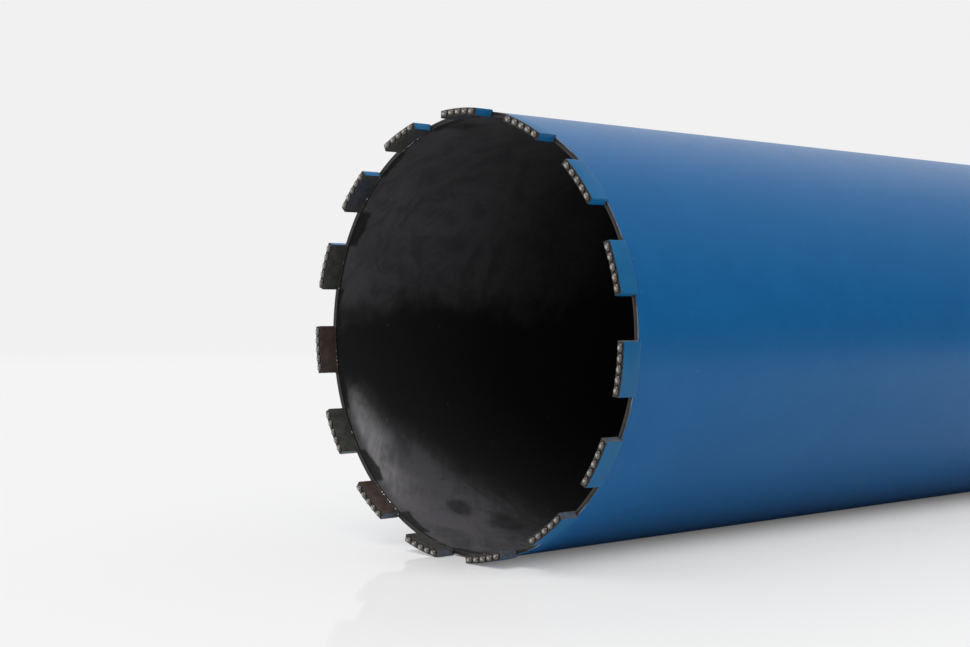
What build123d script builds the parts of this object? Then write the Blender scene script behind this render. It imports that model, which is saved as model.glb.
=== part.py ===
from build123d import *
import math
import os

# Wet diamond core bit: a thin steel barrel with fifteen diamond segments welded round its
# open end, and a welded plate with a threaded hub that closes the other end.
#
# All sizes are in millimetres. +Y runs along the bit's axis, from the cutting crown to the
# hub, and +Z is up. The bit lies on its side, as it comes to rest on a floor: on the two
# segments either side of its lowest point and on the barrel's back edge. The origin is on
# the axis, where the hub's thread starts.

# ---------------------------------------------------------------- driving sizes

# Crown
CUT_DIAMETER = 212.0        # over the outer faces of the segments
SEGMENT_COUNT = 15
SEGMENT_CHORD = 24.0        # length of a segment along the rim, end face to end face
SEGMENT_THICKNESS = 3.5     # across the barrel's wall
SEGMENT_BODY_HEIGHT = 10.3  # from the rim to the flat the beads stand on
SEGMENT_END_CHAMFER = 0.5   # on the front edge of each end face
OUTER_RELIEF = 1.0          # the segments stand this far proud of the barrel's outside
TOP_SEGMENT_ANGLE = 90.0    # direction of segment 1 in the XZ plane, from +X towards +Z

# Beads: the row of low domes on a segment's front
BEAD_COUNT = 5
BEAD_HEIGHT = 1.2
BEAD_GAP = 0.2              # between neighbouring beads
BEAD_END_LAND = 0.6         # flat left between the row and each end face
BEAD_SIDE_LAND = 0.15       # flat left between a bead and each long edge

# Barrel
BARREL_WALL = 2.3
BARREL_LENGTH = 450.0       # from the rim to the back edge
BARREL_EDGE_CHAMFER = 0.6   # on the outer back edge

# End plate
PLATE_THICKNESS = 8.0
PLATE_GAP = 0.1             # radial clearance of the plate in the barrel
PLATE_WELD_LEG = 2.6        # fillet weld in the corner of the plate and the barrel
PLATE_WELD_MARGIN = 0.4     # the barrel's back edge stands this far past the weld

# Hub
HUB_DIAMETER = 50.0
HUB_REACH = 42.0            # from the plate's back face to the hub's end face
HUB_EDGE_CHAMFER = 1.5
SPIGOT_DIAMETER = 38.0      # the part of the hub that sits in the plate
SPIGOT_GAP = 0.1            # radial clearance of the spigot in the plate
FLAT_WIDTH = 41.0           # across the two spanner flats
FLAT_LENGTH = 22.0          # from the end face
THREAD_DRILL_RADIUS = 14.1  # wall of the 1 1/4 inch UNC thread before it is tapped
THREAD_LENGTH = 24.0
THREAD_LEAD_IN = 2.0        # 45 degree countersink in the end face
WATER_BORE_DIAMETER = 16.0
HUB_WELD_LEG = 4.5          # fillet weld round the foot of the hub

# ---------------------------------------------------------------- worked-out sizes

segment_outer_radius = CUT_DIAMETER / 2
segment_inner_radius = segment_outer_radius - SEGMENT_THICKNESS
segment_middle_radius = segment_outer_radius - SEGMENT_THICKNESS / 2
bead_pitch = (SEGMENT_CHORD - 2 * BEAD_END_LAND + BEAD_GAP) / BEAD_COUNT
bead_length = bead_pitch - BEAD_GAP
bead_width = SEGMENT_THICKNESS - 2 * BEAD_SIDE_LAND
barrel_outer_radius = segment_outer_radius - OUTER_RELIEF
barrel_inner_radius = barrel_outer_radius - BARREL_WALL
hub_radius = HUB_DIAMETER / 2
spigot_radius = SPIGOT_DIAMETER / 2
water_bore_radius = WATER_BORE_DIAMETER / 2

hub_face_y = THREAD_LEAD_IN
plate_back_y = hub_face_y - HUB_REACH
plate_front_y = plate_back_y - PLATE_THICKNESS
barrel_back_y = plate_back_y + PLATE_WELD_LEG + PLATE_WELD_MARGIN
rim_y = barrel_back_y - BARREL_LENGTH
bead_base_y = rim_y - SEGMENT_BODY_HEIGHT

axis_of_bit = Axis((0, 0, 0), (0, 1, 0))


def turned(outline):
    """Turns a closed outline of (radius, y) points round the bit's axis."""
    section = Plane.XY * make_face(Polyline(*outline, close=True))
    return revolve(section, axis_of_bit, 360)


# ---------------------------------------------------------------- crown

def bead():
    """One bead, with its length along X and its base at the segment's front, on the axis Y.

    It is turned about a line along the rim, so that it is round across the wall and tapers
    to both ends. The turning line lies under the front, where the bead is as wide as stated.
    """
    half_length = bead_length / 2
    depth = ((bead_width / 2) ** 2 - BEAD_HEIGHT**2) / (2 * BEAD_HEIGHT)
    turning_y = bead_base_y + depth
    crest_y = bead_base_y - BEAD_HEIGHT
    crest = ThreePointArc((-half_length, bead_base_y), (0, crest_y), (half_length, bead_base_y))
    foot = Polyline(
        (half_length, bead_base_y),
        (half_length, turning_y),
        (-half_length, turning_y),
        (-half_length, bead_base_y),
    )
    section = Plane.XY * make_face([crest, foot])
    return revolve(section, Axis((0, turning_y, 0), (1, 0, 0)), 360)


def segment_at_top():
    """The segment whose middle lies straight above the axis, along +Z."""
    ring = Circle(segment_outer_radius) - Circle(segment_inner_radius)
    strip = Pos(0, segment_middle_radius) * Rectangle(SEGMENT_CHORD, 4 * SEGMENT_THICKNESS)
    section = Plane((0, rim_y, 0), x_dir=(-1, 0, 0), z_dir=(0, 1, 0)) * (ring & strip)
    body = extrude(section, amount=-SEGMENT_BODY_HEIGHT)
    front = body.faces().sort_by(Axis.Y)[0]
    end_edges = front.edges().filter_by(GeomType.LINE)
    body = chamfer(end_edges, SEGMENT_END_CHAMFER)

    one_bead = Pos(0, 0, segment_middle_radius) * bead()
    bead_angle = math.degrees(bead_pitch / segment_middle_radius)
    for index in range(BEAD_COUNT):
        offset = index - (BEAD_COUNT - 1) / 2
        body += one_bead.rotate(axis_of_bit, offset * bead_angle)
    return body


def segments():
    """All segments, numbered clockwise as seen from the crown, from the top one."""
    first = segment_at_top()
    pitch = 360 / SEGMENT_COUNT
    placed = {}
    for index in range(SEGMENT_COUNT):
        # A positive turn about +Y carries +Z towards +X.
        turn = (90 - TOP_SEGMENT_ANGLE) + index * pitch
        placed[f"segment_{index + 1:02d}"] = first.rotate(axis_of_bit, turn)
    return placed


# ---------------------------------------------------------------- barrel and back end

def barrel():
    return turned([
        (barrel_inner_radius, rim_y),
        (barrel_outer_radius, rim_y),
        (barrel_outer_radius, barrel_back_y - BARREL_EDGE_CHAMFER),
        (barrel_outer_radius - BARREL_EDGE_CHAMFER, barrel_back_y),
        (barrel_inner_radius, barrel_back_y),
    ])


def end_plate():
    rim_radius = barrel_inner_radius - PLATE_GAP
    hole_radius = spigot_radius + SPIGOT_GAP
    return turned([
        (hole_radius, plate_front_y),
        (rim_radius, plate_front_y),
        (rim_radius, plate_back_y),
        (hole_radius, plate_back_y),
    ])


def plate_weld():
    """Fillet weld in the corner between the plate's back face and the barrel's wall."""
    return turned([
        (barrel_inner_radius - PLATE_WELD_LEG, plate_back_y),
        (barrel_inner_radius, plate_back_y),
        (barrel_inner_radius, plate_back_y + PLATE_WELD_LEG),
    ])


def hub_weld():
    """Fillet weld in the corner between the hub and the plate's back face."""
    return turned([
        (hub_radius, plate_back_y),
        (hub_radius + HUB_WELD_LEG, plate_back_y),
        (hub_radius, plate_back_y + HUB_WELD_LEG),
    ])


def hub():
    thread_end_y = -THREAD_LENGTH
    drill_point = THREAD_DRILL_RADIUS - water_bore_radius
    body = turned([
        (water_bore_radius, plate_front_y),
        (spigot_radius, plate_front_y),
        (spigot_radius, plate_back_y),
        (hub_radius, plate_back_y),
        (hub_radius, hub_face_y - HUB_EDGE_CHAMFER),
        (hub_radius - HUB_EDGE_CHAMFER, hub_face_y),
        (THREAD_DRILL_RADIUS + THREAD_LEAD_IN, hub_face_y),
        (THREAD_DRILL_RADIUS, hub_face_y - THREAD_LEAD_IN),
        (THREAD_DRILL_RADIUS, thread_end_y),
        (water_bore_radius, thread_end_y - drill_point / 2),
    ])
    waste = Box(HUB_DIAMETER, FLAT_LENGTH, HUB_DIAMETER)
    middle_y = hub_face_y - FLAT_LENGTH / 2
    for side in (-1, 1):
        body -= Pos(side * (FLAT_WIDTH + HUB_DIAMETER) / 2, middle_y, 0) * waste
    return body


# ---------------------------------------------------------------- files

parts = {
    "barrel": barrel(),
    "end_plate": end_plate(),
    "plate_weld": plate_weld(),
    "hub": hub(),
    "hub_weld": hub_weld(),
}
parts.update(segments())

os.makedirs("parts", exist_ok=True)
for name, shape in parts.items():
    export_step(shape, f"parts/{name}.step")
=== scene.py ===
# %% [markdown]
# # A wet diamond core bit
# A core bit is a steel tube that drills round holes in concrete. Diamond segments stand on its
# open end and do the cutting. A plate closes the other end and carries a threaded hub, through
# which the drill turns the bit and feeds it water. The CAD model of it is loaded first, because
# every piece of this scene is measured from that model. It lies along Y, with its crown at the
# low end, and it is never moved.

# %% Load the frame
import math

import bmesh
import bpy
from mathutils import Matrix, Vector


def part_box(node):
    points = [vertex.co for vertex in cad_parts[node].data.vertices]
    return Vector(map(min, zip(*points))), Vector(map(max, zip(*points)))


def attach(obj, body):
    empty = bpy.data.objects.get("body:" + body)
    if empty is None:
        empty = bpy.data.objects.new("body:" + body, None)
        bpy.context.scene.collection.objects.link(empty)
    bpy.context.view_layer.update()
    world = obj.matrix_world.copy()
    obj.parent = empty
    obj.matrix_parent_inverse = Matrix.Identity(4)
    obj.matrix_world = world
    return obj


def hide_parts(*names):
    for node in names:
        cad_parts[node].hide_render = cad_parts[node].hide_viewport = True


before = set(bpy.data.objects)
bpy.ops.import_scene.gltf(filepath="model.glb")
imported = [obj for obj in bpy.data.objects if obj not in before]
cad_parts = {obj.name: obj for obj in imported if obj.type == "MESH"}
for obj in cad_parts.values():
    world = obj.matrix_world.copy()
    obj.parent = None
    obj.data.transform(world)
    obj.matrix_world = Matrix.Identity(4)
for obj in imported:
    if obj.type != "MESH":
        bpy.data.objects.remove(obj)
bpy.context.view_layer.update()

print("nodes:", len(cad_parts))

# %% [markdown]
# Most sizes are read off the nodes' boxes: a box gives a tube's radius, where its rim is and how
# far back it goes. A few can't be read from a box, such as the wall of the barrel, and these are
# written here as real sizes. Blender works in metres, so each size in millimetres is multiplied
# by MM.

# %% Measure the nodes
MM = 0.001

barrel_low, barrel_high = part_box("barrel")
plate_low, plate_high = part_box("end_plate")
hub_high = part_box("hub")[1]
crown_low, crown_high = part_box("segment_01")

rim_y = barrel_low.y
back_y = barrel_high.y
barrel_radius = barrel_high.x
plate_front_y, plate_back_y = plate_low.y, plate_high.y
crown_radius = crown_high.z
crown_front_y = crown_low.y
hub_radius = hub_high.x
hub_face_y = hub_high.y
floor_z = min(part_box(name)[0].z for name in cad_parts)

SEGMENT_COUNT = 15
BARREL_WALL = 2.3 * MM
barrel_inside = barrel_radius - BARREL_WALL
print(f"barrel {2 * barrel_radius / MM:.1f} x {(back_y - rim_y) / MM:.1f} mm,",
      f"crown {2 * crown_radius / MM:.1f} mm")

# %% [markdown]
# ## The camera
# The bit is seen from beside its open end, a little above the floor, through a long lens. A long
# lens from further away keeps the round mouth of a tube from looking stretched. The camera's
# turn is built from three rotations: the azimuth about the upright, the pitch, and a small roll
# about the line of sight.

# %% Place the camera
CAMERA_PLACE = Vector((0.57647, -1.01965, 0.02513))     # metres, from the start of the hub's thread
CAMERA_AZIMUTH = math.radians(46.7806)
CAMERA_PITCH = math.radians(-1.4253)
CAMERA_ROLL = math.radians(0.8854)
CAMERA_LENS = 61.84     # millimetres, as is the sensor's width
SENSOR_WIDTH = 36.0
FARTHEST_SEEN = 100.0

camera = bpy.data.objects.new("camera", bpy.data.cameras.new("camera"))
bpy.context.scene.collection.objects.link(camera)
bpy.context.scene.camera = camera
camera.data.sensor_width = SENSOR_WIDTH
camera.data.lens = CAMERA_LENS
camera.data.clip_end = FARTHEST_SEEN
camera.matrix_world = (
    Matrix.Translation(CAMERA_PLACE)
    @ Matrix.Rotation(CAMERA_AZIMUTH, 4, "Z")
    @ Matrix.Rotation(math.pi / 2 + CAMERA_PITCH, 4, "X")
    @ Matrix.Rotation(CAMERA_ROLL, 4, "Z")
)
print("camera to rim:", round((CAMERA_PLACE - Vector((0, rim_y, 0))).length, 3), "m")

# %% [markdown]
# ## Maths for materials
# A material's pattern is a sum: a mask times a colour, a height plus a little noise. Built by
# hand, each step of the sum is a Math node. This class wraps a socket, so that the sum can be
# written as plain Python and the nodes are added by it. Any other node comes from the method
# node(), which takes the node's type, its settings, and what goes into its sockets.

# %% A socket that does sums
class Value:
    """A socket in a material. Arithmetic on it adds the Math nodes that work it out."""

    def __init__(self, tree, socket=None):
        self.tree = tree
        self.socket = socket

    def node(self, kind, settings=None, inputs=None, output=0):
        """Adds a node: settings first, then the values or links of its sockets."""
        new = self.tree.nodes.new("ShaderNode" + kind)
        for name, value in (settings or {}).items():
            setattr(new, name, value)
        for name, value in (inputs or {}).items():
            if isinstance(value, Value):
                self.tree.links.new(value.socket, new.inputs[name])
            else:
                new.inputs[name].default_value = value
        return Value(self.tree, new.outputs[output] if new.outputs else None)

    def math(self, operation, *values):
        """Adds a Math node that does this operation on the values."""
        return self.node("Math", {"operation": operation}, dict(enumerate(values)))

    def __add__(self, other):
        return self.math("ADD", self, other)

    def __sub__(self, other):
        return self.math("SUBTRACT", self, other)

    def __rsub__(self, other):
        return self.math("SUBTRACT", other, self)

    def __mul__(self, other):
        return self.math("MULTIPLY", self, other)

    def __truediv__(self, other):
        return self.math("DIVIDE", self, other)

    __radd__ = __add__
    __rmul__ = __mul__


print("a socket that does sums is ready")

# %% [markdown]
# Most patterns here come from four moves: a smooth step makes a mask out of any value, noise
# makes a surface uneven, a blend paints one colour over another where a mask says so, and the
# larger of two masks joins them.

# %% Step, noise and blend
def step(value, low, high):
    """0 below low, 1 above high, and a smooth rise between them. It falls if low is the larger."""
    settings = {"interpolation_type": "SMOOTHSTEP"}
    if low < high:
        return value.node("MapRange", settings, {"Value": value, "From Min": low, "From Max": high})
    rise = value.node("MapRange", settings, {"Value": value, "From Min": high, "From Max": low})
    return 1 - rise


def noise(place, scale, detail=2.0, roughness=0.5):
    """Soft noise of about 0 to 1. Its lumps are about 1 / scale metres across."""
    inputs = {"Vector": place, "Scale": scale, "Detail": detail, "Roughness": roughness}
    return place.node("TexNoise", None, inputs)


def blend(mask, first, second):
    """The first colour where mask is 0, the second where it is 1."""
    return mask.node("Mix", {"data_type": "RGBA"}, {0: mask, 6: first, 7: second}, output=2)


def larger(first, second):
    """The larger of two values."""
    return first.math("MAXIMUM", first, second)


print("step, noise and blend are ready")

# %% [markdown]
# A colour is written as it would be picked in a paint program, from 0 to 255, and turned into
# the linear values that Blender's shaders work in. A material starts with its Object
# coordinates, which are metres in the model's own frame here, because each piece's object
# stays at the origin.

# %% Start and finish a material
def colour(red, green, blue):
    """A linear colour from red, green and blue out of 255."""
    linear = []
    for c in (red / 255, green / 255, blue / 255):
        linear.append(c / 12.92 if c <= 0.04045 else ((c + 0.055) / 1.055) ** 2.4)
    return (*linear, 1.0)


def new_material(name):
    """The material of this name, emptied or new, and its Object coordinates as a Value."""
    material = bpy.data.materials.get(name) or bpy.data.materials.new(name)
    material.use_nodes = True
    material.node_tree.nodes.clear()
    start = Value(material.node_tree)
    return material, start.node("TexCoord", None, None, output="Object")


def finish_material(material, place, height=None, bump=0.1, **inputs):
    """Puts a Principled shader on the material. A height in metres becomes its bump."""
    inputs = {name.replace("_", " "): value for name, value in inputs.items()}
    if height is not None:
        bumps = {"Height": height, "Strength": bump, "Distance": 1.0}
        inputs["Normal"] = place.node("Bump", None, bumps)
    shader = place.node("BsdfPrincipled", None, inputs)
    place.node("OutputMaterial", None, {"Surface": shader})
    return material


def parts_of(place):
    """The x, y and z of a vector."""
    x = place.node("SeparateXYZ", None, {0: place})
    split = x.socket.node
    return [Value(place.tree, split.outputs[i]) for i in range(3)]


def round_the_axis(place):
    """Distance from the bit's axis, and the angle round it from the top in degrees, clockwise."""
    x, y, z = parts_of(place)
    radius = x.math("SQRT", x * x + z * z)
    angle = x.math("ARCTAN2", x, z) * (180 / math.pi)
    return radius, angle, y


print("mid blue:", [round(c, 3) for c in colour(10, 95, 151)])

# %% [markdown]
# ## The studio
# The bit lies on a pale table in a pale room, under a large soft lamp. A world can play the
# room. To the camera, and in anything glossy, it is one plain pale colour. For the matt light
# that falls on the bit it is bright overhead and dim near the horizon, as a studio is, which
# gives round things their soft shading.

# %% The room
PALE = 0.8796           # how bright the table and the room look
CEILING = 0.92          # brightness of the matt light from overhead
HORIZON = 0.06          # and from the side
CEILING_FROM = 0.8      # z of a direction that is overhead

world = bpy.data.worlds.new("room")
bpy.context.scene.world = world
world.use_nodes = True
world.node_tree.nodes.clear()
start = Value(world.node_tree)
direction = start.node("TexCoord", None, None, output="Generated")
brightness = HORIZON + step(parts_of(direction)[2], 0.0, CEILING_FROM) * (CEILING - HORIZON)
rays = []
for kind in ("Camera", "Glossy", "Transmission"):
    rays.append(start.node("LightPath", None, None, output=f"Is {kind} Ray"))
seen_plainly = larger(larger(rays[0], rays[1]), rays[2])
brightness = brightness + seen_plainly * (PALE - brightness)
background = start.node("Background", None, {"Color": (1, 1, 1, 1), "Strength": brightness})
start.node("OutputWorld", None, {"Surface": background})
print("room: pale", PALE, "ceiling", CEILING, "horizon", HORIZON)

# %% [markdown]
# The key lamp is a sun with a wide angle: it acts as a large soft box that is far away, so the
# table is lit evenly and the shadows stay soft.

# %% The lamp
LAMP_FROM = Vector((0.07, -0.48, 0.88))     # where the light comes from
LAMP_STRENGTH = 1.51
LAMP_WIDTH = math.radians(46)

lamp = bpy.data.objects.new("soft_lamp", bpy.data.lights.new("soft_lamp", "SUN"))
bpy.context.scene.collection.objects.link(lamp)
lamp.data.energy = LAMP_STRENGTH
lamp.data.angle = LAMP_WIDTH
lamp.rotation_euler = LAMP_FROM.to_track_quat("Z", "Y").to_euler()
bpy.context.scene.view_settings.view_transform = "Standard"
print("lamp strength", LAMP_STRENGTH)

# %% [markdown]
# The table is one large sheet. It shows the bit's shadow and, where it is wiped clean round the
# bit, a dim mirror image of the crown. Two things keep it looking plain. Far from the bit it
# fades into the colour of the room, so that no horizon shows. And as the camera sees it, the
# plain colour is mixed in, so that the shadow stays light. Close to where the bit touches the
# table little is mixed in, and the shadow is deep there, which sets the bit down firmly. The bit
# itself still gets its light from the real table.

# %% The table
TABLE_SIZE = 60.0
TABLE_COLOUR = 0.82
TABLE_POLISH = 0.24      # share of mirroring close to the bit
POLISH_ROUGHNESS = 0.06
POLISH_NEAR, POLISH_FAR = 0.12, 0.28    # it is full up to here and gone from there
FADE_NEAR, FADE_FAR = 0.7, 2.2          # where the table fades into the room
SHADOW_DEPTH = 0.34      # 1 would be the full depth of the shadow
TOUCHING_DEPTH = 0.90    # and this is its depth where the bit touches the table
TOUCHING_REACH = 0.07

bpy.ops.object.select_all(action="DESELECT")
bpy.ops.mesh.primitive_plane_add(size=TABLE_SIZE, location=(0, 0, floor_z))
table = bpy.context.object
table.name = "table"
table_paint, place = new_material("table_paint")
across, along = parts_of(place)[:2]
from_middle = along - rim_y / 2
beyond = larger(from_middle.math("ABSOLUTE", from_middle) + rim_y / 2, 0.0)     # past an end
from_bit = across.math("SQRT", across * across + beyond * beyond)
matt = place.node("BsdfDiffuse", None, {"Color": (TABLE_COLOUR, TABLE_COLOUR, TABLE_COLOUR, 1)})
mirror = place.node("BsdfGlossy", None, {"Color": (1, 1, 1, 1), "Roughness": POLISH_ROUGHNESS})
mirroring = step(from_bit, POLISH_FAR, POLISH_NEAR) * TABLE_POLISH
polished = place.node("MixShader", None, {0: mirroring, 1: matt, 2: mirror})
plain = place.node("Emission", None, {"Color": (PALE, PALE, PALE, 1), "Strength": 1.0})
camera_ray = place.node("LightPath", None, None, output="Is Camera Ray")
depth = SHADOW_DEPTH + step(from_bit, TOUCHING_REACH, 0.0) * (TOUCHING_DEPTH - SHADOW_DEPTH)
plainness = larger(step(from_bit, FADE_NEAR, FADE_FAR), camera_ray * (1 - depth))
seen = place.node("MixShader", None, {0: plainness, 1: polished, 2: plain})
place.node("OutputMaterial", None, {"Surface": seen})
table.data.materials.append(table_paint)
print("table at z =", round(floor_z, 4))

# %% [markdown]
# A glossy tube looks round because something dark is mirrored along its side. So a dark card
# stands beside the bit and leans over it, as in a real studio. It is darkest at its foot and
# gets paler upwards. It is left out of everything but reflections: the camera doesn't see it,
# and it takes no light away.

# %% The dark card
CARD_FOOT = Vector((0.62, floor_z))         # x and z of its lower and upper edges
CARD_TOP = Vector((-0.35, 1.60))
CARD_ENDS = (-0.60, 2.00)                   # y of its two ends
CARD_DARK, CARD_MIDDLE, CARD_PALE = 0.02, 0.55, 0.88

card_slope = CARD_TOP - CARD_FOOT
card_middle = (CARD_FOOT + CARD_TOP) / 2
bpy.ops.object.select_all(action="DESELECT")
bpy.ops.mesh.primitive_plane_add(size=1)
bpy.ops.transform.resize(value=(card_slope.length, CARD_ENDS[1] - CARD_ENDS[0], 1))
card = bpy.context.object
card.name = "dark_card"
card.rotation_euler.y = -math.atan2(card_slope.y, card_slope.x)
card.location = (card_middle.x, sum(CARD_ENDS) / 2, card_middle.y)
bpy.ops.object.transform_apply(location=True, rotation=True, scale=True)
card_paint, place = new_material("card_paint")
rise = (parts_of(place)[2] - CARD_FOOT.y) / (CARD_TOP.y - CARD_FOOT.y)
glow = CARD_DARK + step(rise, 0.0, 0.5) * (CARD_MIDDLE - CARD_DARK)
glow = glow + step(rise, 0.55, 1.0) * (CARD_PALE - CARD_MIDDLE)
place.node("OutputMaterial", None, {"Surface": place.node("Emission", None, {"Strength": glow})})
card.data.materials.append(card_paint)
card.visible_camera = False
card.visible_diffuse = False
card.visible_shadow = False
print("card size", [round(x, 2) for x in card.dimensions])

# %% [markdown]
# ## Working by hand
# New pieces are made with the same operators as in Blender's window. An operator acts on
# everything that is selected, so a piece is started with nothing selected, and faces or edges
# are picked by where they are or which way they face.

# %% Start, pick and finish
NEAR = 0.01 * MM            # what is closer than this is at the same place


def start_piece():
    """Leaves nothing selected, so that the next operator acts on the new piece alone."""
    if bpy.context.object and bpy.context.object.mode != "OBJECT":
        bpy.ops.object.mode_set(mode="OBJECT")
    bpy.ops.object.select_all(action="DESELECT")


def edit():
    """Writes the new piece's place and turn into its mesh, and goes into edit mode."""
    bpy.ops.object.transform_apply(location=True, rotation=True, scale=True)
    bpy.ops.object.mode_set(mode="EDIT")


def pick(kind, test):
    """Selects the vertices, edges or faces whose centre passes the test, and counts them."""
    bpy.ops.mesh.select_mode(type=kind)
    bpy.ops.mesh.select_all(action="DESELECT")
    mesh = bmesh.from_edit_mesh(bpy.context.object.data)
    items = {"VERT": mesh.verts, "EDGE": mesh.edges, "FACE": mesh.faces}[kind]
    count = 0
    for item in items:
        corners = [item] if kind == "VERT" else item.verts
        centre = sum((v.co for v in corners), Vector()) / len(corners)
        chosen = bool(test(centre, item))
        item.select_set(chosen)
        count += chosen
    mesh.select_flush_mode()
    bmesh.update_edit_mesh(bpy.context.object.data)
    return count


def finish_piece(name, *nodes, smooth=35):
    """Ends editing and names the piece. It rides on the bit and stands for its nodes."""
    if bpy.context.object.mode != "OBJECT":
        bpy.ops.object.mode_set(mode="OBJECT")
    bpy.ops.object.transform_apply(location=True, rotation=True, scale=True)
    bpy.ops.object.shade_smooth_by_angle(angle=math.radians(smooth))
    piece = bpy.context.object
    piece.name = piece.data.name = name
    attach(piece, "root")
    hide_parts(*nodes)
    return piece


print("ready to start, pick and finish")

# %% [markdown]
# What is round is drawn as an outline and spun. A tiny plane is merged into one point, which is
# moved to the first corner and then extruded from corner to corner. Where the last corner meets
# the first, two points lie together and have to be merged. After a spin the same is true of
# the first section and the last.

# %% Draw and spin
TOGETHER = 0.001 * MM       # points closer than this are merged


def draw(outline):
    """Draws a closed outline of (distance from the axis, y) points, right above the bit's axis."""
    start_piece()
    bpy.ops.mesh.primitive_plane_add(size=MM)
    edit()
    bpy.ops.mesh.select_mode(type="VERT")
    bpy.ops.mesh.select_all(action="SELECT")
    bpy.ops.mesh.merge(type="CENTER")
    corners = [Vector((0, y, radius)) for radius, y in outline]
    bpy.ops.transform.translate(value=corners[0])
    for here, there in zip(corners, corners[1:] + corners[:1]):
        bpy.ops.mesh.extrude_region_move(TRANSFORM_OT_translate={"value": there - here})
    clean()


def clean():
    """Merges points that lie together, and turns all faces outwards."""
    bpy.ops.mesh.select_all(action="SELECT")
    bpy.ops.mesh.remove_doubles(threshold=TOGETHER)
    bpy.ops.mesh.normals_make_consistent(inside=False)


def lathe(outline, steps):
    """Spins an outline round the bit's axis, and leaves the new piece in edit mode."""
    draw(outline)
    bpy.ops.mesh.spin(steps=steps, angle=math.tau, center=(0, 0, 0), axis=(0, 1, 0))
    clean()
    return bpy.context.object


print("ready to draw and spin")

# %% [markdown]
# ## The barrel
# The barrel is a thin tube, welded from sheet and turned true. It could be a cylinder given a
# wall by a modifier, but an outline spun round the axis says more plainly where the wall, the
# rim and the back edge are. Extra points close to each end keep the smooth shading of the long
# faces from bending at the edges. The rim is then bevelled a little, as a deburred edge is, and
# the back edge has its chamfer.

# %% Turn the barrel
RING_SPACING = 25 * MM
EDGE_BAND = 1.2 * MM
RIM_BEVEL = 0.2 * MM
BACK_CHAMFER = 0.6 * MM
BARREL_STEPS = 240

ring_count = int((back_y - rim_y) / RING_SPACING)
rings = [rim_y, rim_y + EDGE_BAND]
rings += [rim_y + k * RING_SPACING for k in range(1, ring_count)]
rings += [back_y - EDGE_BAND, back_y]
outline = [(barrel_radius, y) for y in rings] + [(barrel_inside, y) for y in reversed(rings)]
lathe(outline, BARREL_STEPS)


def on_ring(edge, y, radius):
    """True for an edge that runs round the axis at this y and radius."""
    return all(
        abs(v.co.y - y) < NEAR and abs(v.co.xz.length - radius) < NEAR for v in edge.verts
    )


def on_rim(place, edge):
    """True for the outer and the inner edge of the rim."""
    return on_ring(edge, rim_y, barrel_radius) or on_ring(edge, rim_y, barrel_inside)


pick("EDGE", on_rim)
bpy.ops.mesh.bevel(offset=RIM_BEVEL, segments=2, affect="EDGES")
pick("EDGE", lambda place, edge: on_ring(edge, back_y, barrel_radius))
bpy.ops.mesh.bevel(offset=BACK_CHAMFER, segments=1, affect="EDGES")
barrel = finish_piece("steel_barrel", "barrel")
print("barrel faces:", len(barrel.data.polygons))

# %% [markdown]
# ## A segment
# A segment is a sintered block of metal powder and diamond, pressed to the curve of the barrel.
# Its outer and inner faces are round the bit's axis and its two end faces are parallel. So it
# starts as an arc of a circle, gets its thickness by an extrusion that is scaled towards the
# axis, is cut off by two parallel planes, and is then pulled forward to its height. It is made
# once, at the top of the barrel.

# %% The block of a segment
SEGMENT_CHORD = 24.0 * MM
SEGMENT_THICKNESS = 3.5 * MM
BEAD_HEIGHT = 1.2 * MM
END_CHAMFER = 0.5 * MM
EDGE_BEVEL = 0.18 * MM
SHARP = math.radians(40)    # an edge that turns more than this is bevelled
SPARE = 1.5 * MM            # the arc is this much too long, and is then cut off
CIRCLE_POINTS = 480

segment_front_y = crown_front_y + BEAD_HEIGHT
segment_inside = crown_radius - SEGMENT_THICKNESS
segment_middle = crown_radius - SEGMENT_THICKNESS / 2
half_chord = SEGMENT_CHORD / 2

start_piece()
bpy.ops.mesh.primitive_circle_add(
    vertices=CIRCLE_POINTS, radius=crown_radius,
    location=(0, rim_y, 0), rotation=(math.pi / 2, 0, 0),
)
edit()
pick("VERT", lambda place, item: place.z < 0 or abs(place.x) > half_chord + SPARE)
bpy.ops.mesh.delete(type="VERT")
bpy.ops.mesh.select_all(action="SELECT")
bpy.ops.mesh.extrude_region_move()
inwards = segment_inside / crown_radius
bpy.ops.transform.resize(value=(inwards, 1, inwards), center_override=(0, rim_y, 0))
for side in (-1, 1):
    bpy.ops.mesh.select_all(action="SELECT")
    bpy.ops.mesh.bisect(plane_co=(side * half_chord, 0, 0), plane_no=(side, 0, 0), clear_outer=True)
bpy.ops.mesh.select_all(action="SELECT")
forwards = (0, segment_front_y - rim_y, 0)
bpy.ops.mesh.extrude_region_move(TRANSFORM_OT_translate={"value": forwards})
bpy.ops.mesh.select_all(action="SELECT")
bpy.ops.mesh.normals_make_consistent(inside=False)


def on_front_end(place, edge):
    """True for the edge between the front and either end face."""
    return all(
        abs(v.co.y - segment_front_y) < NEAR and abs(abs(v.co.x) - half_chord) < NEAR
        for v in edge.verts
    )


def is_sharp(place, edge):
    """True for a sharp edge, but not for those on the rim."""
    return edge.calc_face_angle(0) > SHARP and place.y < rim_y - 0.1 * MM


pick("EDGE", on_front_end)
bpy.ops.mesh.bevel(offset=END_CHAMFER, segments=1, affect="EDGES")
pick("EDGE", is_sharp)
bpy.ops.mesh.bevel(offset=EDGE_BEVEL, segments=2, affect="EDGES")
bpy.ops.object.mode_set(mode="OBJECT")
segment = bpy.context.object
print("block faces:", len(segment.data.polygons))

# %% [markdown]
# Each segment's front carries a row of five low beads, which bite first on a new bit. A bead is
# a flattened ball sunk half into the block. The row is one ball, copied round the bit's axis.

# %% The beads
BEAD_COUNT = 5
BEAD_PITCH = 4.6 * MM
BEAD_LENGTH = 4.45 * MM
BEAD_WIDTH = 3.2 * MM


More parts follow.
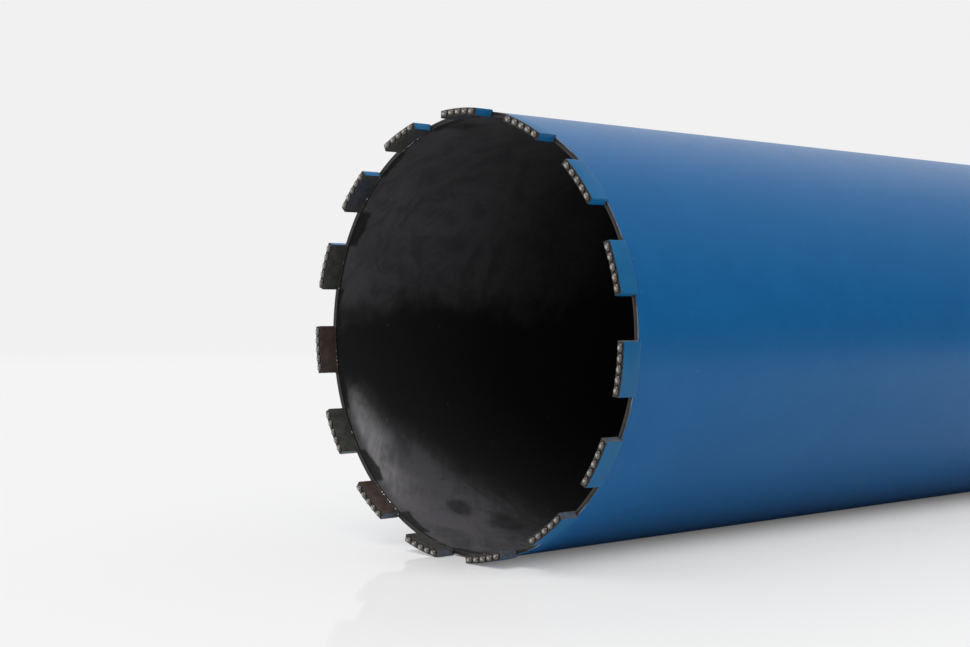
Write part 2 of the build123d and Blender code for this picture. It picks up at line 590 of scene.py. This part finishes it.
def turn(angle):
    """Turns what is selected round the bit's axis, clockwise as seen from the crown."""
    bpy.ops.transform.rotate(value=-angle, orient_axis="Y", center_override=(0, 0, 0))


start_piece()
bpy.ops.mesh.primitive_uv_sphere_add(
    segments=24, ring_count=14, radius=1, scale=(BEAD_LENGTH / 2, BEAD_WIDTH / 2, BEAD_HEIGHT),
    location=(0, segment_front_y, segment_middle), rotation=(math.pi / 2, 0, 0),
)
edit()
bead_angle = BEAD_PITCH / segment_middle
turn(-bead_angle * (BEAD_COUNT - 1) / 2)
for number in range(BEAD_COUNT - 1):
    bpy.ops.mesh.duplicate()
    turn(bead_angle)
bpy.ops.object.mode_set(mode="OBJECT")
beads = bpy.context.object
bead_x = [v.co.x / MM for v in beads.data.vertices]
print("beads from x =", round(min(bead_x), 1), "to", round(max(bead_x), 1), "mm")

# %% [markdown]
# The segments are welded on by a laser. Inside the barrel the weld shows as a fine rippled
# bead of bare metal along the joint, with a small blob at each end. Outside, a wider and flatter
# bead fills the step between segment and barrel. A weld is a small disc spun a few degrees round
# the bit's axis, with two sections to each ripple. Every second section is then shrunk.

# %% The welds of a segment
INNER_WELD = 0.42 * MM      # radius of the bead inside the barrel
OUTER_WELD = 0.85 * MM
INNER_RIPPLE = 0.12 * MM
OUTER_RIPPLE = 0.03 * MM
RIPPLE_PITCH = 1.0 * MM
BLOB_SIZE = Vector((0.5, 0.5, 1.35)) * MM       # radii along x, y and z
BLOB_INWARDS = 0.7 * MM     # from the middle of the barrel's wall


def weld_stretch(radius, size, ripple, y, reach):
    """A rippled bead along the joint, this far from the axis, out to x = reach on both sides."""
    start_piece()
    bpy.ops.mesh.primitive_circle_add(
        vertices=10, radius=size, fill_type="NGON",
        location=(0, y, radius), rotation=(0, math.pi / 2, 0),
    )
    edit()
    half_angle = math.asin(reach / radius)
    steps = 2 * round(2 * reach / RIPPLE_PITCH)
    turn(half_angle)
    bpy.ops.mesh.spin(steps=steps, angle=2 * half_angle, center=(0, 0, 0), axis=(0, 1, 0))
    spacing = 2 * half_angle / steps

    def in_valley(place, item):
        """True on every second section."""
        return round((math.atan2(place.x, place.z) + half_angle) / spacing) % 2 == 0

    pick("VERT", in_valley)
    bpy.ops.transform.shrink_fatten(value=-ripple)
    bpy.ops.mesh.select_all(action="SELECT")
    bpy.ops.mesh.normals_make_consistent(inside=False)
    bpy.ops.object.mode_set(mode="OBJECT")
    return bpy.context.object


inner_weld = weld_stretch(
    barrel_inside, INNER_WELD, INNER_RIPPLE, rim_y, half_chord - 0.3 * MM
)
outer_weld = weld_stretch(
    barrel_radius + 0.1 * MM, OUTER_WELD, OUTER_RIPPLE, rim_y + 0.1 * MM, half_chord - 0.2 * MM
)
blob_radius = (barrel_inside + barrel_radius) / 2 - BLOB_INWARDS
blobs = []
for side in (-1, 1):
    start_piece()
    bpy.ops.mesh.primitive_uv_sphere_add(
        segments=14, ring_count=8, radius=1, scale=BLOB_SIZE,
        location=(side * half_chord, rim_y - 0.05 * MM, blob_radius),
    )
    blobs.append(bpy.context.object)
print("weld faces:", len(inner_weld.data.polygons), len(outer_weld.data.polygons))

# %% [markdown]
# The block, its beads and its welds are now made one closed skin by a Boolean union, so that no
# hidden faces are left inside. Each of them brings its own material along, which is still empty:
# bare segment, bead, painted segment or weld. The paint was sprayed from outside and from one
# side, so it covers the outer face and the end face that looks clockwise, and only mists the
# other end.

# %% Paint and join one segment
FACES_THAT_WAY = 0.8        # of a face's normal, for a face that looks that way

for piece, finishes in (
    (segment, ("bare_segment", "misted_segment", "painted_segment")),
    (beads, ("bead_metal",)),
    (inner_weld, ("weld_steel",)),
    (outer_weld, ("painted_segment",)),
    (blobs[0], ("weld_steel",)),
    (blobs[1], ("weld_steel",)),
):
    for finish in finishes:
        piece.data.materials.append(new_material(finish)[0])
start_piece()
bpy.context.view_layer.objects.active = segment
segment.select_set(True)
edit()
pick("FACE", lambda place, face: face.normal.x < -FACES_THAT_WAY)
segment.active_material_index = 1
bpy.ops.object.material_slot_assign()
pick("FACE", lambda place, face: max(face.normal.z, face.normal.x) > FACES_THAT_WAY)
segment.active_material_index = 2
bpy.ops.object.material_slot_assign()
bpy.ops.object.mode_set(mode="OBJECT")

for piece in (beads, outer_weld, inner_weld, *blobs):
    union = segment.modifiers.new("join", "BOOLEAN")
    union.operation = "UNION"
    union.solver = "EXACT"
    union.use_self = True
    union.material_mode = "TRANSFER"
    union.object = piece
    bpy.ops.object.modifier_apply(modifier="join")
    bpy.data.objects.remove(piece)
edit()
clean()
bpy.ops.object.mode_set(mode="OBJECT")
print("segment:", len(segment.data.polygons), "faces")
print("its finishes:", [slot.name for slot in segment.material_slots])

# %% [markdown]
# The finished segment stands for the CAD model's first one. The other fourteen are copies with
# meshes of their own, each turned one step further round the bit.

# %% Copy the segment round the rim
for number in range(SEGMENT_COUNT):
    start_piece()
    segment.select_set(True)
    bpy.context.view_layer.objects.active = segment
    bpy.ops.object.duplicate(linked=False)
    turn(number * math.tau / SEGMENT_COUNT)
    name = f"segment_{number + 1:02d}"
    finish_piece(f"crown_{name}", name, smooth=40)
bpy.data.objects.remove(segment)

# %% [markdown]
# ## The hub
# The hub screws onto the drill's spindle. It is turned from bar, with a thread inside, a flat
# face that pulls up against the spindle's shoulder and two flats for a spanner. Its body is an
# outline spun round the axis, like the barrel. The flats are cut by two boxes in a Boolean.

# %% Turn the hub
HUB_CHAMFER = 1.5 * MM
SPIGOT_RADIUS = 19.0 * MM
WATER_BORE = 8.0 * MM           # a radius, as the two below are
THREAD_OUTER = 15.875 * MM      # radius at the root of the 1 1/4 inch thread
THREAD_INNER = 14.1 * MM        # radius at its crest
THREAD_LENGTH = 24.0 * MM
THREAD_LEAD_IN = 2.0 * MM
FLAT_WIDTH = 41.0 * MM
FLAT_LENGTH = 22.0 * MM
BOX_DEPTH = 20.0 * MM           # of a box that cuts a flat
BOX_HEIGHT = 60.0 * MM
HUB_STEPS = 96

thread_start_y = hub_face_y - THREAD_LEAD_IN
thread_end_y = thread_start_y - THREAD_LENGTH
lead_in_radius = THREAD_INNER + THREAD_LEAD_IN
hub = lathe([
    (SPIGOT_RADIUS, plate_front_y),
    (SPIGOT_RADIUS, plate_back_y),
    (hub_radius, plate_back_y),
    (hub_radius, hub_face_y - HUB_CHAMFER),
    (hub_radius - HUB_CHAMFER, hub_face_y),
    (lead_in_radius, hub_face_y),
    (THREAD_OUTER, hub_face_y - (lead_in_radius - THREAD_OUTER)),
    (THREAD_OUTER, thread_end_y),
    (WATER_BORE, thread_end_y),
    (WATER_BORE, plate_front_y),
], HUB_STEPS)
bpy.ops.object.mode_set(mode="OBJECT")


def cut(piece, tool, operation="DIFFERENCE"):
    """Cuts the tool out of the piece, and removes the tool."""
    boolean = piece.modifiers.new("cut", "BOOLEAN")
    boolean.operation = operation
    boolean.solver = "EXACT"
    boolean.object = tool
    start_piece()
    piece.select_set(True)
    bpy.context.view_layer.objects.active = piece
    bpy.ops.object.modifier_apply(modifier="cut")
    bpy.data.objects.remove(tool)


for side in (-1, 1):
    start_piece()
    bpy.ops.mesh.primitive_cube_add(
        size=1, scale=(BOX_DEPTH, FLAT_LENGTH * 2, BOX_HEIGHT),
        location=(side * (FLAT_WIDTH / 2 + BOX_DEPTH / 2), hub_face_y, 0),
    )
    cut(hub, bpy.context.object)
print("hub faces:", len(hub.data.polygons))

# %% [markdown]
# The thread is a ridge wound round the wall of the bore, with the section of a 60 degree
# thread: wide at its root, narrow at its crest. The Screw modifier winds the section up. A cone
# then cuts its first turns back to the countersink, and a union makes it one piece with the hub.

# %% Cut the thread
PITCH = 25.4 / 7 * MM
THREAD_SLOPE = math.tan(math.radians(30))
TURN_STEPS = 64
BURIED = 0.15 * MM          # how far the ridge's foot lies inside the hub
ROOT_SHARE = 7 / 8          # width of the ridge's foot, of the pitch
CONE_REACH = 4 * MM         # the cone reaches this far to both sides of the face

root_half = PITCH * ROOT_SHARE / 2
crest_half = root_half - (THREAD_OUTER - THREAD_INNER) * THREAD_SLOPE
top = hub_face_y + PITCH / 2
draw([
    (THREAD_OUTER + BURIED, top - root_half),
    (THREAD_OUTER, top - root_half),
    (THREAD_INNER, top - crest_half),
    (THREAD_INNER, top + crest_half),
    (THREAD_OUTER, top + root_half),
    (THREAD_OUTER + BURIED, top + root_half),
])
bpy.ops.object.mode_set(mode="OBJECT")
ridge = bpy.context.object
wind = ridge.modifiers.new("wind", "SCREW")
wind.axis = "Y"
wind.angle = -math.tau       # this way round it is a right-hand thread
wind.screw_offset = -PITCH
wind.steps = wind.render_steps = TURN_STEPS
wind.iterations = math.ceil((hub_face_y - thread_end_y) / PITCH) + 1
bpy.ops.object.modifier_apply(modifier="wind")
edit()
bpy.ops.mesh.select_all(action="SELECT")
bpy.ops.mesh.fill_holes(sides=0)
clean()
bpy.ops.object.mode_set(mode="OBJECT")

start_piece()
bpy.ops.mesh.primitive_cone_add(
    vertices=HUB_STEPS, depth=2 * CONE_REACH,
    radius1=lead_in_radius + CONE_REACH, radius2=lead_in_radius - CONE_REACH,
    location=(0, hub_face_y, 0), rotation=(math.pi / 2, 0, 0),
)
cut(ridge, bpy.context.object)
cut(hub, ridge, "UNION")
edit()
clean()
bpy.ops.object.mode_set(mode="OBJECT")
hub = finish_piece("threaded_hub", "hub", smooth=30)
print("hub with thread:", len(hub.data.polygons), "faces")

# %% [markdown]
# ## The two welds at the back
# A fillet weld fills a corner with metal laid down in small overlapping ripples. One runs round
# the foot of the hub and one joins the end plate to the barrel. Each is an outline with a
# bulging face, spun round the axis with two sections to a ripple, and every second section is
# shrunk a little.

# %% Lay the fillet welds
WELD_BULGE = 0.16           # of the weld's leg
WELD_FOOT = 0.1             # of the leg: the ripples stop this far from the plate and the wall
BULGE_POINTS = 5
HUB_RIPPLES = 64
HUB_RIPPLE_DEPTH = 0.25 * MM
PLATE_RIPPLES = 230
PLATE_RIPPLE_DEPTH = 0.12 * MM


def fillet_weld(name, node, radius, side, leg, ripples, ripple_depth):
    """A rippled weld in the corner at this radius. It reaches out from the axis if side is 1."""
    outline = [(radius, plate_back_y)]
    for k in range(BULGE_POINTS + 1):
        t = k / BULGE_POINTS
        swell = WELD_BULGE * leg * math.sin(math.pi * t)
        outline.append((radius + side * (leg * (1 - t) + swell), plate_back_y + leg * t + swell))
    steps = 2 * ripples
    lathe(outline, steps)

    def in_valley(place, item):
        """True on every second section, but not at the plate or at the wall."""
        section = round(math.atan2(place.x, place.z) * steps / math.tau)
        off_plate = place.y > plate_back_y + WELD_FOOT * leg
        off_wall = abs(place.xz.length - radius) > WELD_FOOT * leg
        return section % 2 == 0 and off_plate and off_wall

    pick("VERT", in_valley)
    bpy.ops.transform.shrink_fatten(value=-ripple_depth)
    return finish_piece(name, node, smooth=60)


hub_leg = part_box("hub_weld")[1].y - plate_back_y
plate_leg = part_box("plate_weld")[1].y - plate_back_y
hub_weld = fillet_weld(
    "weld_round_hub", "hub_weld", hub_radius, 1, hub_leg, HUB_RIPPLES, HUB_RIPPLE_DEPTH
)
plate_weld = fillet_weld(
    "weld_round_plate", "plate_weld", barrel_inside, -1, plate_leg, PLATE_RIPPLES, PLATE_RIPPLE_DEPTH
)
print("welds:", len(hub_weld.data.polygons), len(plate_weld.data.polygons), "faces")

# %% [markdown]
# ## Blue paint
# The outside is sprayed with a satin enamel. Up close such paint isn't flat: it has the fine
# ripple called orange peel, a few specks of dust, and a colour that drifts a little from place
# to place. The ripple goes into the bump, the drift and the specks into the colour.

# %% Paint the barrel
BARREL_BLUE = colour(8, 97, 155)
DEEP_BLUE = colour(5, 92, 150)
SPECK_BLUE = colour(150, 185, 215)
PEEL_SCALE = 700.0
PEEL_HEIGHT = 0.02 * MM
WAVE_HEIGHT = 0.06 * MM
SPECK_SCALE = 260.0


def enamel(place, light, deep):
    """Colour, roughness and height of the blue enamel."""
    drift = noise(place, 30.0, 2.0)
    mottle = noise(place, 110.0, 2.0)
    tint = blend(step(drift * 0.5 + mottle * 0.5, 0.25, 0.75), deep, light)
    dust = place.node("TexVoronoi", None, {"Vector": place, "Scale": SPECK_SCALE})
    rare = step(noise(place, 120.0, 0.0), 0.62, 0.70)
    specks = step(dust, 0.10, 0.04) * rare
    tint = blend(specks * 0.35, tint, SPECK_BLUE)
    rough = 0.30 + mottle * 0.08 + specks * 0.2
    peel = noise(place, PEEL_SCALE, 2.0) * PEEL_HEIGHT + noise(place, 60.0, 1.0) * WAVE_HEIGHT
    return tint, rough, peel


barrel_paint, place = new_material("barrel_paint")
tint, rough, peel = enamel(place, BARREL_BLUE, DEEP_BLUE)
finish_material(
    barrel_paint, place, peel, bump=0.6,
    Base_Color=tint, Roughness=rough, Specular_IOR_Level=0.18,
)
print("barrel paint ready")

# %% [markdown]
# ## The inside
# Inside, the steel wears a thin black coat, wiped and scuffed. Into its colour is painted the light
# that comes in through the mouth: painted light makes it paler along the top and the bottom than
# along the sides, fading with depth behind the rim, and a painted highlight lies at the bottom of
# the mouth. Masks say where: they are steps of the angle from the top and of the depth behind the
# rim, with cloudy noise added so that their edges wander. Two more noises streak both the wear
# and the painted light. One is stretched into slanting streaks on the unrolled wall, and one is
# distorted, so that it curls as a wipe with a cloth does.

# %% Paint light and wear into the coat
COAT_BLACK = colour(33, 33, 33)
# The two paler coat colours below are painted light: the first mixed with wear, the second a
# highlight.
COAT_LIT_AND_RUBBED = colour(91, 89, 93)
COAT_HIGHLIGHT = colour(156, 154, 156)
TOP_BAND = (88, 74)             # where each mask starts and is full, in degrees from the top
TOP_MIDDLE = (30, 62)
BOTTOM_BAND = (103, 128)
BOTTOM_MIDDLE = (148, 172)
BRIGHT_BAND = (101, 120)
BRIGHT_END = (158, 122)
TOP_DEPTH = (0.24, 0.06)        # and here in metres behind the rim
BOTTOM_DEPTH = (0.108, 0.026)
MOUTH_DEPTH = (0.030, 0.008)
LIP_DEPTH = (0.002, 0.008)

inside_coat, place = new_material("inside_coat")
angle, y = round_the_axis(place)[1:]
from_top = angle.math("ABSOLUTE", angle)
depth = y - rim_y
around = from_top * (math.pi / 180 * barrel_inside)
slanting = {0: (around - depth * 0.5) * 55.0, 1: (depth + around * 0.7) * 300.0, 2: around * 12.0}
streaks = noise(place.node("CombineXYZ", None, slanting), 1.0, 4.0, 0.62)
cloud = noise(place, 24.0, 4.0, 0.6)
lumps = noise(place, 75.0, 3.0, 0.6)
uneven = cloud - 0.5
curled = {"Vector": place, "Scale": 48.0, "Detail": 6.0, "Roughness": 0.62, "Distortion": 1.3}
curl = place.node("TexNoise", None, curled)

# Painted light: the coat is paler along the top, fading with depth behind the rim.
upper = step(from_top + uneven * 30, *TOP_BAND) * step(depth + uneven * 0.12, *TOP_DEPTH)
upper = upper * (0.62 + step(from_top, *TOP_MIDDLE) * 0.38)
from_side = from_top - step(depth, 0.0, 0.09) * 32 + uneven * 26
# Painted light: the coat is paler along the bottom, fading with depth behind the rim.
lower = step(from_side, *BOTTOM_BAND) * step(depth + uneven * 0.06, *BOTTOM_DEPTH)
lower = lower * (1.36 - step(from_top, *BOTTOM_MIDDLE) * 0.60)
# Painted highlight at the bottom of the mouth, within about 3 cm of the rim.
near_mouth = step(depth + uneven * 0.03, *MOUTH_DEPTH) * step(depth, *LIP_DEPTH)
bright = step(from_side, *BRIGHT_BAND) * step(from_top, *BRIGHT_END) * near_mouth
# Streaks and curls that texture both the wear and the painted light.
wear_and_sheen_streaks = step(streaks * 0.25 + curl * 0.75, 0.38, 0.60)
painted_light_and_wear = larger(upper * (0.60 + wear_and_sheen_streaks * 0.38), lower * (0.56 + wear_and_sheen_streaks * 0.56))
print("coat rubbed")

# %% [markdown]
# Behind each gap in the crown the coat is darker, in a patch with a soft edge. The patches aren't
# equally deep. A few oval smudges and pale flecks of dust finish it. Colours are laid one over
# another, as paint is: each blend has the one before it as its ground.

# %% Patches, smudges and flecks
GAP_HALF_ANGLE = 5.6        # degrees, half of the gap between two segments
PITCH_ANGLE = 360 / SEGMENT_COUNT
PATCH_DEPTH = 6.0 * MM
PATCH_BLACK = colour(28, 27, 27)
LIP_BLACK = colour(22, 20, 20)
DUST_GREY = colour(150, 150, 150)
SMUDGES = ((152, 40, 8), (162, 58, 11), (12, 13, 9))    # degrees from the top, depth and reach in mm

turns = (angle + 360) / PITCH_ANGLE + 0.5
from_gap = (turns.math("FRACT", turns) - 0.5) * PITCH_ANGLE
from_gap = PITCH_ANGLE / 2 - from_gap.math("ABSOLUTE", from_gap)
patch_depth = (noise(place, 13.0, 1.0) - 0.12) * (2 * PATCH_DEPTH)
patch = step(from_gap, GAP_HALF_ANGLE + 0.5, GAP_HALF_ANGLE - 0.7)
patch = patch * step(depth - patch_depth + (lumps - 0.5) * 0.008, 1.0 * MM, -0.8 * MM)
lip = step(depth, 1.6 * MM, 0.6 * MM)

smudge = 0.0
for smudge_angle, smudge_depth, reach in SMUDGES:
    across = (from_top - smudge_angle) * (math.pi / 180 * barrel_inside)
    along = (depth - smudge_depth * MM) * 0.8
    distance = across.math("SQRT", across * across + along * along) + (lumps - 0.5) * 0.010
    smudge = larger(step(distance, reach * MM * 1.1, reach * MM * 0.5), smudge)
smudge = smudge * 0.62

dust = place.node("TexVoronoi", None, {"Vector": place, "Scale": 190.0})
fleck = step(dust, 0.09, 0.03) * step(noise(place, 80.0, 0.0), 0.60, 0.66)

tint = blend(painted_light_and_wear, COAT_BLACK, COAT_LIT_AND_RUBBED)
# The painted highlight at the mouth, streaked, goes over the painted light and wear.
highlight_streaks = step(streaks * 0.6 + curl * 0.4, 0.32, 0.60)
tint = blend(bright * (0.35 + highlight_streaks * 0.60), tint, COAT_HIGHLIGHT)
tint = blend(larger(patch * 0.85, smudge), tint, PATCH_BLACK)
tint = blend(lip, tint, LIP_BLACK)
tint = blend(fleck * 0.6, tint, DUST_GREY)
rough = 0.60 - painted_light_and_wear * 0.12 + patch * 0.1
relief = streaks * (0.03 * MM) + lumps * (0.04 * MM)
finish_material(
    inside_coat, place, relief, bump=0.5,
    Base_Color=tint, Roughness=rough, Specular_IOR_Level=0.35,
)
print("inside coat ready")

# %% [markdown]
# The rim itself is ground steel, left bare and dulled. Grinding leaves fine scratches that run
# round it, so the noise is stretched along the unrolled rim. The black coat laps over its inner
# edge, and along its outer edge a painted highlight lies in patches.

# %% Grind the rim
RIM_DARK = colour(36, 34, 33)
RIM_LIGHT = colour(66, 63, 60)
RIM_HIGHLIGHT = colour(160, 162, 165)

rim_steel, place = new_material("rim_steel")
radius, angle, y = round_the_axis(place)
scratched = {0: radius * 3000.0, 1: angle * 0.6, 2: y * 1200.0}
grind = noise(place.node("CombineXYZ", None, scratched), 1.0, 3.0)
stain = noise(place, 90.0, 3.0)
tint = blend(step(grind * 0.5 + stain * 0.5, 0.3, 0.7), RIM_DARK, RIM_LIGHT)
coat_lap = radius - barrel_inside + (stain - 0.5) * (0.8 * MM)
black_edge = step(coat_lap, 1.1 * MM, 0.7 * MM)
tint = blend(black_edge * 0.8, tint, COAT_BLACK)
# Painted highlight: the outer edge of the rim is lit in patches.
rim_highlight_edge = step(radius, barrel_radius - 0.35 * MM, barrel_radius - 0.15 * MM)
tint = blend(rim_highlight_edge * (0.2 + step(stain, 0.45, 0.6) * 0.6), tint, RIM_HIGHLIGHT)
finish_material(
    rim_steel, place, grind * (0.02 * MM), bump=0.5,
    Base_Color=tint, Roughness=0.38 + stain * 0.2, Metallic=0.8 - black_edge * 0.6,
)
print("rim ready")

# %% [markdown]
# The barrel is one piece with three finishes, so its faces are given three material slots, by
# where they are: everything at the rim's face, everything that looks towards the axis, and the
# rest.

# %% Give the barrel its finishes
for finish in (barrel_paint, inside_coat, rim_steel):
    barrel.data.materials.append(finish)
for face in barrel.data.polygons:
    looks_in = face.normal.x * face.center.x + face.normal.z * face.center.z < 0
    if face.center.y < rim_y + RIM_BEVEL:
        face.material_index = 2
    elif looks_in and face.center.y < back_y:
        face.material_index = 1
print("finishes on the barrel:", [slot.material.name for slot in barrel.material_slots])

# %% [markdown]
# ## Segment, bead and weld metal
# A segment is a dense mixture of metal and grit. Where no paint reached it, it is dull and has a
# grain. Here every second segment of the lower half comes from a browner batch, and a little
# paint has drifted onto the upper ones. The beads are the same metal, pressed smooth. Their tops
# carry a painted highlight and the valleys between them painted shade. The block's front under
# them is darkened nearly to black as painted shade, so that the row of beads stands out.

# %% Metal of the segments
GRAIN = 1600.0              # grains to a metre
GRIT_HEIGHT = 0.06 * MM


def grit_metal(name, dark, light, rough, metallic, grain=GRAIN):
    """A grained metal of two colours."""
    material, place = new_material(name)
    grit = noise(place, grain, 3.0, 0.7)
    patches = noise(place, 260.0, 2.0)
    tint = blend(step(grit * 0.6 + patches * 0.4, 0.35, 0.65), dark, light)
    finish_material(
        material, place, grit * GRIT_HEIGHT, bump=0.7,
        Base_Color=tint, Roughness=rough + grit * 0.2, Metallic=metallic,
    )
    return material


SEGMENT_BROWN = colour(92, 76, 69)
SEGMENT_GREY = colour(84, 84, 80)
# Dark metal, also used as painted shade on the block's front and in the beads' valleys.
SEGMENT_DARK_AND_SHADE = colour(40, 37, 35)
DRIFTED_BLUE = colour(34, 70, 104)
BROWNEST_AT = 96            # degrees before the top, where one of the brown segments is

bare_paint, place = new_material("bare_segment")
grit = noise(place, GRAIN, 3.0, 0.7)
angle, y = round_the_axis(place)[1:]
high = parts_of(place)[2]
batch = angle.math("COSINE", (angle + BROWNEST_AT) * (math.pi / PITCH_ANGLE)) * 0.5
cloud = noise(place, 60.0, 2.0) - 0.5
brown = step(batch + cloud - step(high, 10 * MM, 50 * MM) * 0.6, -0.1, 0.3)
tint = blend(brown, SEGMENT_GREY, SEGMENT_BROWN)
drifted = step(high, 30 * MM, 80 * MM) * step(noise(place, 45.0, 2.0), 0.45, 0.65)
tint = blend(drifted * 0.45, tint, DRIFTED_BLUE)
pits = step(grit * 0.5 + noise(place, 240.0, 2.0) * 0.5, 0.62, 0.36)
tint = blend(pits * 0.6, tint, SEGMENT_DARK_AND_SHADE)
# Painted shade: the block's front under the beads is darkened nearly to black.
front = step(y - segment_front_y, 0.12 * MM, 0.04 * MM)
tint = blend(front, tint, SEGMENT_DARK_AND_SHADE)
finish_material(
    bare_paint, place, grit * GRIT_HEIGHT, bump=0.7,
    Base_Color=tint, Roughness=0.42 + grit * 0.2, Metallic=0.45 - front * 0.3,
)
print("segment metal ready")

# %% [markdown]
# On the beads the mask is a height: how far a point lies in front of the block. Low down it
# paints shade into the valleys, and at the tops a painted highlight. A little noise is added to it,
# so that the painted highlight doesn't end in a clean line.

# %% Metal of the beads
BEAD_GREY = colour(94, 89, 84)
BEAD_HIGHLIGHT = colour(196, 191, 185)

bead_paint, place = new_material("bead_metal")
grit = noise(place, 1200.0, 2.0)
rise = segment_front_y - parts_of(place)[1] + (grit - 0.5) * (0.4 * MM)
# Painted shade low on each bead, and a painted highlight on its top.
tint = blend(step(rise, 0.35 * MM, 0.95 * MM), SEGMENT_DARK_AND_SHADE, BEAD_GREY)
tint = blend(step(rise, 1.05 * MM, 1.18 * MM) * 0.7, tint, BEAD_HIGHLIGHT)
finish_material(
    bead_paint, place, grit * (0.03 * MM), bump=0.6,
    Base_Color=tint, Roughness=0.12 + grit * 0.1, Metallic=0.6,
)
print("bead metal ready")

# %% [markdown]
# A weld is drawn as dark steel with painted glints: noise scatters bright spots over it, which
# stand in for the highlights on its ripples. The paint on a segment ends a little raggedly where
# the front begins, and a painted highlight runs along the rear edge of the outer weld.

# %% Welds, and the paint on a segment
WELD_DARK = colour(50, 46, 43)
WELD_GLINT = colour(206, 203, 198)
SEGMENT_BLUE = colour(20, 103, 152)
SEGMENT_DEEP_BLUE = colour(14, 92, 142)
HIGHLIGHT_BLUE = colour(150, 185, 208)
MIST_DARK = colour(70, 76, 84)
MIST_LIGHT = colour(98, 110, 124)

weld_paint, place = new_material("weld_steel")
# Painted glints: bright spots that stand in for highlights on the weld's ripples.
glint_dots = noise(place, 620.0, 2.0) * 0.7 + noise(place, 120.0, 1.0) * 0.3
tint = blend(step(glint_dots, 0.54, 0.72), WELD_DARK, WELD_GLINT)
finish_material(
    weld_paint, place, glint_dots * (0.1 * MM), bump=0.5,
    Base_Color=tint, Roughness=0.42 - glint_dots * 0.3, Metallic=0.9,
)

segment_paint, place = new_material("painted_segment")
y = parts_of(place)[1]
tint, rough, peel = enamel(place, SEGMENT_BLUE, SEGMENT_DEEP_BLUE)
ragged = noise(place, 700.0, 3.0)
painted = step(y - segment_front_y + (ragged - 0.5) * (0.4 * MM), 0.2 * MM, 0.4 * MM)
# Painted highlight along the rear edge of the outer weld, in broken bits.
weld_edge_highlight = step(y - rim_y, 0.45 * MM, 0.8 * MM) * step(ragged, 0.3, 0.5)
tint = blend(weld_edge_highlight * 0.6, tint, HIGHLIGHT_BLUE)
tint = blend(painted, SEGMENT_DARK_AND_SHADE, tint)
finish_material(
    segment_paint, place, peel, bump=0.6,
    Base_Color=tint, Roughness=rough, Metallic=0.5 - painted * 0.5, Specular_IOR_Level=0.25,
)
grit_metal("misted_segment", MIST_DARK, MIST_LIGHT, 0.4, 0.3)
print("weld and paint ready")

# %% [markdown]
# The segments were joined with these five materials while they were still empty, so each face
# has its finish already.

# %% [markdown]
# ## The back
# The hub is plain turned steel. The tool leaves fine rings on it, so the noise is stretched
# round the axis. The weld round its foot is bare too, and a little browned by the heat. The end
# plate and the weld that joins it to the barrel are painted with the barrel outside, and coated
# black inside.

# %% Finish the back
HUB_DARK = colour(128, 128, 130)
HUB_LIGHT = colour(176, 176, 177)
LAID_DARK = colour(92, 86, 80)
LAID_LIGHT = colour(140, 134, 126)
LAID_GRAIN = 420.0

hub_paint, place = new_material("hub_steel")
radius, angle, y = round_the_axis(place)
turned = {0: radius * 1800.0, 1: angle * 0.02, 2: y * 1800.0}
rings = noise(place.node("CombineXYZ", None, turned), 1.0, 3.0)
cloud = noise(place, 120.0, 3.0)
tint = blend(step(rings * 0.6 + cloud * 0.4, 0.3, 0.7), HUB_DARK, HUB_LIGHT)
finish_material(
    hub_paint, place, rings * (0.02 * MM), bump=0.5,
    Base_Color=tint, Roughness=0.26 + cloud * 0.16, Metallic=1.0,
)
laid_weld = grit_metal("laid_weld", LAID_DARK, LAID_LIGHT, 0.28, 0.9, LAID_GRAIN)

plate_paint, place = new_material("plate_paint")
tint, rough, peel = enamel(place, BARREL_BLUE, DEEP_BLUE)
inner_side = step(parts_of(place)[1] - plate_front_y, 1.5 * MM, 1.0 * MM)
tint = blend(inner_side, tint, COAT_BLACK)
finish_material(
    plate_paint, place, peel, bump=0.6,
    Base_Color=tint, Roughness=rough + inner_side * 0.25, Specular_IOR_Level=0.25,
)

hub.data.materials.append(hub_paint)
hub_weld.data.materials.append(laid_weld)
plate_weld.data.materials.append(barrel_paint)
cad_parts["end_plate"].material_slots[0].material = plate_paint
print("back finished")
